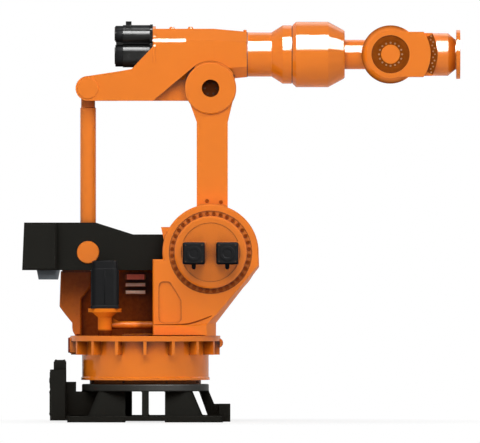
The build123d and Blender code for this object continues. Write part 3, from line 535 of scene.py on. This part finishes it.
# Servo motors: die-cast black housings with a stepped end cap; larger ones have ribs and a plug.
# One kind of dress serves all of them: the cap's face gets a raised boss and four corner screws.
# Two of the wrist motors are glossy; the others are duller, and their black is a little darker as
# painted shade.
motor_enamel = enamel(
    "motor_enamel", (0.0105, 0.0105, 0.0100, 1), (0.005, 0.005, 0.005, 1), (0.024, 0.025, 0.027, 1),
    0.20, 0.03, {"Specular IOR Level": 0.12},
)
coat(motor_enamel, "wrist_motor_front", "wrist_motor_lower")
# The dull black is darker than the glossy black: painted shade.
dull_enamel = enamel(
    "dull_enamel", (0.0080, 0.0082, 0.0088, 1), (0.004, 0.004, 0.004, 1), (0.012, 0.012, 0.013, 1),
    0.45, 0.03, {"Specular IOR Level": 0.02},
)
coat(dull_enamel, "front_motors", "rear_motors", "swivel_motor", "wrist_motor_rear")
flange, cap_length, cap_step, plug_back = 0.022, 0.060, 0.007, 0.106
rib_width, rib_depth, rib_pitch = 0.007, 0.006, 0.022


def dress_motor(name, body, foot, out, up, size, length, corner, ribs=0, finish=motor_enamel):
    """Dress one motor that stands on foot along out; one with ribs has a plug opposite up."""
    foot, out, up = Vector(foot), Vector(out), Vector(up)
    across = up.cross(out)
    end = foot + out * length
    shape = bmesh.new()
    boss = (
        (0, 0.36), (0.005, 0.36), (0.006, 0.354), (0.006, 0.220),
        (0.005, 0.214), (0.003, 0.214), (0.003, 0.02),
    )
    turned_on(shape, end, out, [(height, share * size) for height, share in boss], 40)
    if ribs:
        rib_length = length - cap_length - flange - 0.024
        middle = foot + out * (flange + 0.010 + rib_length / 2)
        for face, along in ((up, across), (across, up), (-across, up)):
            extent = [
                abs(out[i]) * rib_length + abs(along[i]) * rib_width + abs(face[i]) * rib_depth
                for i in range(3)
            ]
            for number in range(ribs):
                shift = (number - (ribs - 1) / 2) * rib_pitch
                slab(shape, middle + face * (size / 2 + 0.0015) + along * shift, extent, 0.0014)
        plug = foot + out * (length - plug_back) - up * (size / 2 + 0.030)
        turned_on(shape, plug, -up, [
            (0, 0.0150), (0.004, 0.0150), (0.005, 0.0125),
            (0.012, 0.0125), (0.014, 0.0105), (0.014, 0.004),
        ], 24)
    piece(name + "_ribs", body, finish, shape)
    reach = size / 2 - cap_step - max(0.012, 0.45 * corner)
    seats = [end + across * (a * reach) + up * (b * reach) for a in (-1, 1) for b in (-1, 1)]
    screws(name + "_screws", body, [(seat, out) for seat in seats], 0.0065, 0.005)


for side, name in ((-1, "front"), (1, "rear")):
    for shift, hand in ((-0.134, "left"), (0.134, "right")):
        dress_motor(
            f"{name}_motor_{hand}", "turret",
            (joint_x + shift, side * 0.390, 1.347), (0, side, 0), (0, 0, 1),
            size=0.168, length=0.260, corner=0.016, ribs=5, finish=dull_enamel,
        )


# Swivel motor: the largest servo motor, upright on a bracket of cup, stem and strut cast in one.
# The bracket's orange is thin and dull, with painted shade on the stem's foot and the strut's far
# end.
def bracket_painted_shade(place):
    """Painted shade round the foot of the stem and at the far end of the strut."""
    along, height = place.part("X"), place.part("Z")
    return (1 - height.ramp(0.728, 0.746)) * 0.95 + along.ramp(-0.080, -0.030) * 0.62


bracket_enamel = orange(
    "bracket_enamel", 0.06, 0.20, painted_shade_mask=bracket_painted_shade, painted_shade_colour=(0.055, 0.010, 0.003, 1),
)
coat(bracket_enamel, "swivel_bracket")
dress_motor(
    "swivel_motor", "turret", (-0.322, -0.342, 0.907), (0, 0, 1), (0, -1, 0),
    size=0.216, length=0.378, corner=0.040, ribs=1, finish=dull_enamel,
)


# Shoulder shaft: the turned steel axle through both cheeks, on which link arm and lever swing.
# It is left bare and is browned by old grease like the slewing ring, in the same brown, painted
# lighter.
coat(greased_steel_painted_light, "shoulder_shaft")


# Link arm: a forked box casting from shoulder to elbow, gloss orange, with plugged lifting threads.
# The elbow covers are turned rings; their holes show the oily end of the elbow pin and its screws;
# the pin's dark brown is partly painted shade deep in the hole.
# Curved felts, sprayed with the arm, close the gap over the elbow covers.
coat(orange_enamel, "link_arm", "elbow_cover_front", "elbow_cover_rear")
# The pin's dark brown is partly oily steel, partly painted shade for the deep hole.
pin_steel_painted_shade = metal(
    "pin_steel_painted_shade", (0.085, 0.022, 0.006, 1), 0.50, 0.10, {"Specular IOR Level": 0.0},
)
coat(pin_steel_painted_shade, "elbow_pin")
elbow_z = 2.665
lifting, pin_ends = [], []
for side in (-1, 1):
    outward = (0, side, 0)
    lifting += [((x, side * 0.210, z), outward) for x, z in ((0.493, 1.766), (0.605, 1.757))]
    centre = (joint_x, side * 0.164, elbow_z)
    pin_ends += [(seat, outward) for seat in circle_of(6, 0.048, centre, outward)]
screws("lifting_plugs", "link", lifting, 0.014, 0.005, oiled_steel)
screws("elbow_pin_screws", "elbow", pin_ends, 0.008, 0.007)
felt_inner, felt_outer, felt_rows, taper = 0.1955, 0.2170, 53, 3
felts = bmesh.new()
for side in (-1, 1):
    rings = []
    for number in range(felt_rows):
        angle = math.radians(27 + 2 * number)
        from_end = min(number, felt_rows - 1 - number)
        rim = felt_outer - 0.0160 * max(0, taper - from_end) / taper
        section = (
            (felt_inner, 0.182), (felt_inner, 0.1985),
            (rim - 0.0020, 0.1985), (rim, 0.1965), (rim, 0.182),
        )
        rings.append([
            Vector((joint_x + reach * math.cos(angle), side * y, elbow_z + reach * math.sin(angle)))
            for reach, y in section
        ])
    skin(felts, rings)
piece("elbow_felts", "link", orange_enamel, felts)


# Counterweight lever: a black cast frame with iron slabs on its tail and a rubber buffer below.
# The slabs are bolted from inside, so their faces are plain; the orange crank pin carries the rod.
coat(black_enamel, "counterweight_lever", "counterweight")
coat(orange_enamel, "crank_pin")
# The buffer's grey-blue is painted lighter to make up for the shadow it hangs in.
buffer_rubber = enamel(
    "buffer_rubber", (0.120, 0.136, 0.148, 1), (0.040, 0.046, 0.050, 1), (0.150, 0.165, 0.175, 1),
    0.80, 0.35, {"Specular IOR Level": 0.02},
)
coat(buffer_rubber, "lever_buffer")


# Parallel rod: drawn steel tube between two forged eyes, gloss orange.
# A painted shadow darkens the neck below the upper eye.
def neck_painted_shadow(place):
    """Painted shadow on the neck below the upper eye."""
    return place.part("Z").ramp(2.500, 2.530) * 0.45


eye_enamel = orange("eye_enamel", painted_shade_mask=neck_painted_shadow, painted_shade_colour=(0.170, 0.030, 0.003, 1))
coat(eye_enamel, "rod_eye_upper")
coat(orange_enamel, "rod_tube", "rod_eye_lower")


# Upper arm: the big casting over the elbow, with ears for the rod, and the forearm tube and flange.
# The tube is spigoted into the casting; a dark sealed seam shows there, partly painted shadow along
# the step, and lifting bosses stand on top.
coat(orange_enamel, "arm_housing", "arm_pin", "forearm_tube", "forearm_flange")
arm_axis = 2.937
dark_seal_and_shadow = enamel(
    "dark_seal_and_shadow", (0.120, 0.030, 0.006, 1), (0.05, 0.012, 0.003, 1), (0.2, 0.05, 0.01, 1),
    0.55, 0.20, {"Specular IOR Level": 0.20},
)
# The seam's dark sealer also draws the shadow line of the step between casting and tube: partly
# painted shadow.
seam = bmesh.new()
turned_on(seam, (0.812, 0, arm_axis), (1, 0, 0), [
    (0, 0.170), (0, 0.1800), (0.004, 0.1795), (0.007, 0.1775), (0.007, 0.170),
], 72)
piece("forearm_seam", "upper_arm", dark_seal_and_shadow, seam)
bosses = bmesh.new()
for x in (0.213, 0.361):
    turned_on(bosses, (x, 0, arm_axis + 0.205), (0, 0, 1), [
        (0, 0.024), (0.006, 0.022), (0.012, 0.018), (0.016, 0.014),
        (0.017, 0.008), (0.012, 0.007), (0.012, 0.002),
    ], 24)
turned_on(bosses, (0.797, 0, arm_axis + 0.172), (0, 0, 1), [
    (0, 0.013), (0.022, 0.013), (0.025, 0.010), (0.025, 0.006), (0.021, 0.005), (0.021, 0.001),
], 24)
piece("lifting_bosses", "upper_arm", orange_enamel, bosses)


# Wrist motors: two small ones side by side above a larger one, flanged to the arm's back.
# A cast black saddle fills the space between the upper pair and the lower motor.
# A dull black boot is drawn over each end cap.
motor_back = 0.060
for side, name, rise, finish in (
    (-1, "front", 0.150, motor_enamel), (1, "rear", 0.180, dull_enamel),
):
    dress_motor(
        f"wrist_motor_{name}", "upper_arm",
        (motor_back, side * 0.062, arm_axis + rise), (-1, 0, 0), (0, 0, -1),
        size=0.112, length=0.300, corner=0.050, finish=finish,
    )
dress_motor(
    "wrist_motor_lower", "upper_arm", (motor_back, 0, arm_axis - 0.010), (-1, 0, 0), (0, 1, 0),
    size=0.186, length=0.300, corner=0.060,
)
saddle_top = ((-0.070, 3.040), (-0.064, 3.046), (0.030, 3.046), (0.058, 3.074), (0.070, 3.074))
saddle = bmesh.new()
rings = []
for x, low in ((-0.234, 3.011), (-0.181, 3.011), (-0.178, 3.019), (0.037, 3.019)):
    outline = (
        (-0.066, low), (-0.070, low + 0.004), *saddle_top, (0.070, low + 0.004), (0.066, low),
    )
    rings.append([Vector((x, y, z)) for y, z in outline])
skin(saddle, rings)
piece("motor_saddle", "upper_arm", motor_enamel, saddle)
boots = bmesh.new()
for y, z, half, corner in (
    (-0.062, arm_axis + 0.150, 0.049, 0.043), (0.062, arm_axis + 0.180, 0.049, 0.043),
    (0, arm_axis - 0.010, 0.086, 0.053),
):
    rings = []
    for x, proud in ((-0.1815, 0.0), (-0.1825, 0.0012), (-0.2350, 0.0012), (-0.2375, 0.0)):
        ring, bend, reach = [], half - corner, corner + proud
        for quarter in range(4):
            middle = math.radians(90 * quarter + 45)
            bend_y = y + math.copysign(bend, math.cos(middle))
            bend_z = z + math.copysign(bend, math.sin(middle))
            for number in range(7):
                angle = math.radians(90 * quarter + 15 * number)
                ring.append(Vector((
                    x, bend_y + reach * math.cos(angle), bend_z + reach * math.sin(angle),
                )))
        rings.append(ring)
    skin(boots, rings)
piece("wrist_motor_boots", "upper_arm", dull_enamel, boots)


# Rolling part of the wrist: the gear bell and the neck, turned castings in gloss orange.
# A lip seal closes the gap between the forearm's collar and the rolling bell.
coat(orange_enamel, "wrist_bell", "wrist_neck")
lip_seal = bmesh.new()
turned_on(lip_seal, (1.1707, 0, arm_axis), (1, 0, 0), [
    (0, 0.152), (0, 0.2270), (0.0010, 0.2290), (0.0045, 0.2290), (0.0055, 0.2270), (0.0055, 0.152),
], 96)
piece("bell_seal", "wrist_roll", dark_seal_and_shadow, lip_seal)


# Wrist housing: forked casting whose round sides hold the bend bearings under a sunk bearing ring.
# The ring is oiled brown steel with bright cap screws; a dark strip of the same steel laid on the
# sunk band is painted shade, and a second row of screws runs along it.
# The hand sits in the fork and ends in the tool flange; both are castings, sprayed orange too.
wrist = Vector((1.960, 0, arm_axis))


def rim_painted_shade(place):
    """Painted shade on the bevelled rim of the round sides, up to where they run into the fork."""
    rim = squared_reach(place, wrist).ramp(0.203 ** 2, 0.228 ** 2)
    return rim * (1 - place.part("X").ramp(2.05, 2.09)) * 0.75


wrist_enamel = orange("wrist_enamel", painted_shade_mask=rim_painted_shade, painted_shade_colour=(0.130, 0.026, 0.004, 1))
coat(wrist_enamel, "wrist_housing")
coat(orange_enamel, "wrist_cover_front", "wrist_cover_rear", "tool_flange")
# The hand's painted corner shade is nearly its own orange, so the cone by the flange stays light in
# place of its highlight: painted light.
hand_enamel = orange("hand_enamel", 0.7, 0.20, (0.420, 0.095, 0.008, 1))
coat(hand_enamel, "hand_housing")
bearing_steel = metal(
    "bearing_steel", (0.270, 0.062, 0.006, 1), 0.60, 0.15, {"Specular IOR Level": 0.0},
)
bright_steel = metal(
    "bright_steel", (0.50, 0.26, 0.12, 1), 0.50, 0.06, {"Specular IOR Level": 0.02},
)
ring_profile = (
    (0, 0.0785), (0.0030, 0.0785), (0.0030, 0.110), (0.0060, 0.114),
    (0.0060, 0.146), (0.0045, 0.150), (0, 0.150),
)
band_inner, band_outer, band_thick = 0.3225, 0.3735, 0.004
bearing_rings = bmesh.new()
ring_seats, band_seats = [], []
for side in (-1, 1):
    outward, floor_y, band_y = (0, side, 0), side * 0.186, side * 0.160
    turned_on(bearing_rings, wrist + Vector((0, floor_y, 0)), outward, ring_profile, 72, loop=True)
    centre = wrist + Vector((0, floor_y + side * 0.003, 0))
    ring_seats += [(seat, outward) for seat in circle_of(16, 0.092, centre, outward)]
    # The dark strip on the sunk band stands in for its shade: painted shade.
    section = ((band_inner, 0), (band_inner, band_thick), (band_outer, band_thick), (band_outer, 0))
    rows = []
    for number in range(25):
        angle = math.radians(-25.5 + 51.0 * number / 24)
        rows.append([
            wrist + Vector((reach * math.cos(angle), band_y + side * lift, reach * math.sin(angle)))
            for reach, lift in section
        ])
    skin(bearing_rings, rows)
    for number in range(13):
        angle = math.radians(-24.0 + 4.0 * number)
        reach = 0.348 + 0.007 * (-1) ** number
        seat_y = band_y + side * band_thick
        seat = wrist + Vector((reach * math.cos(angle), seat_y, reach * math.sin(angle)))
        band_seats.append((seat, outward))
piece("wrist_bearing_rings", "wrist_bend", bearing_steel, bearing_rings)
screws("wrist_ring_screws", "wrist_bend", ring_seats, 0.0080, 0.007, bright_steel)
screws("wrist_band_screws", "wrist_bend", band_seats, 0.0070, 0.005, bright_steel)


# Studio: a pale concrete floor that fades to white, a white surround, a key light and a back fill.
# Three softboxes that only gloss paint sees draw its streaks; the far camera gives a flat view.
def seen(net):
    """1 for the rays that look at the surround: camera, mirror and glass rays."""
    camera_ray, mirror_ray, glass_ray = (
        net.node("ShaderNodeLightPath", {}, {}, kind)
        for kind in ("Is Camera Ray", "Is Glossy Ray", "Is Transmission Ray")
    )
    return net.maths("MINIMUM", camera_ray + mirror_ray + glass_ray, 1.0)


floor_material, net = blank("pale_floor")
place = net.node("ShaderNodeTexCoord", {}, {}, "Object")
pale = place.noise(1.5, 3.0).tint((0.86, 0.86, 0.86, 1), (0.90, 0.90, 0.90, 1))
matt = net.node("ShaderNodeBsdfDiffuse", {}, {"Color": pale}, "BSDF")
white = net.node("ShaderNodeEmission", {}, {"Color": (1, 1, 1, 1), "Strength": 1.0}, "Emission")
far = net.node("ShaderNodeVectorMath", {"operation": "LENGTH"}, {0: place}, "Value")
fade = far.ramp(1.1, 2.6) * 0.25 + 0.75
mixed = net.node("ShaderNodeMixShader", {}, {0: seen(net) * fade, 1: matt, 2: white}, "Shader")
net.node("ShaderNodeOutputMaterial", {}, {"Surface": mixed})
floor_shape = bmesh.new()
bmesh.ops.create_circle(floor_shape, cap_ends=True, segments=96, radius=9.0)
floor_mesh = bpy.data.meshes.new("floor")
floor_shape.to_mesh(floor_mesh)
floor_shape.free()
floor = bpy.data.objects.new("floor", floor_mesh)
floor.location = (0.7, 0, -0.0005)
floor_mesh.materials.append(floor_material)
bpy.context.scene.collection.objects.link(floor)

world = bpy.data.worlds.new("studio")
world.use_nodes = True
world.node_tree.nodes.clear()
net = Value(world.node_tree)
strength = seen(net) * 0.76 + 0.24
wanted = {"Color": (1, 1, 1, 1), "Strength": strength}
surround = net.node("ShaderNodeBackground", {}, wanted, "Background")
net.node("ShaderNodeOutputWorld", {}, {"Surface": surround})
bpy.context.scene.world = world
machine_middle = Vector((0.9, 0, 1.6))


def softbox(name, azimuth, elevation, distance, width, height, radiance, gloss_only=False):
    """Flat area light that faces the machine's middle."""
    light = bpy.data.lights.new(name, "AREA")
    light.shape = "RECTANGLE"
    light.size, light.size_y = width, height
    light.energy = radiance * width * height * math.pi
    made = bpy.data.objects.new(name, light)
    bpy.context.scene.collection.objects.link(made)
    a, e = math.radians(azimuth), math.radians(elevation)
    back = Vector((math.sin(a) * math.cos(e), -math.cos(a) * math.cos(e), math.sin(e)))
    made.location = machine_middle + back * distance
    made.rotation_euler = back.to_track_quat("Z", "Y").to_euler()
    made.visible_camera = False
    if gloss_only:
        made.visible_diffuse = False
        light.diffuse_factor = 0.0


softbox("key", -8, 40, 14.0, 12.0, 11.0, 4.4)
softbox("back_fill", 165, 45, 14.0, 8.0, 8.0, 1.8)
softbox("gloss_front", 0, 47, 25.0, 5.0, 25.5, 46.0, gloss_only=True)
softbox("gloss_right", 30, 47, 25.0, 21.0, 25.5, 46.0, gloss_only=True)
softbox("gloss_side", 61, 34, 25.0, 14.5, 14.0, 46.0, gloss_only=True)

view_distance, view_width = 150, 3.84
camera_data = bpy.data.cameras.new("camera")
camera_data.lens = camera_data.sensor_width * view_distance / view_width
camera_data.clip_end = 2 * view_distance
camera = bpy.data.objects.new("camera", camera_data)
camera.location = (0.757, -view_distance, 1.601)
camera.rotation_euler = (math.radians(90), 0, 0)
bpy.context.scene.collection.objects.link(camera)
bpy.context.scene.camera = camera
bpy.context.scene.view_settings.view_transform = "Standard"
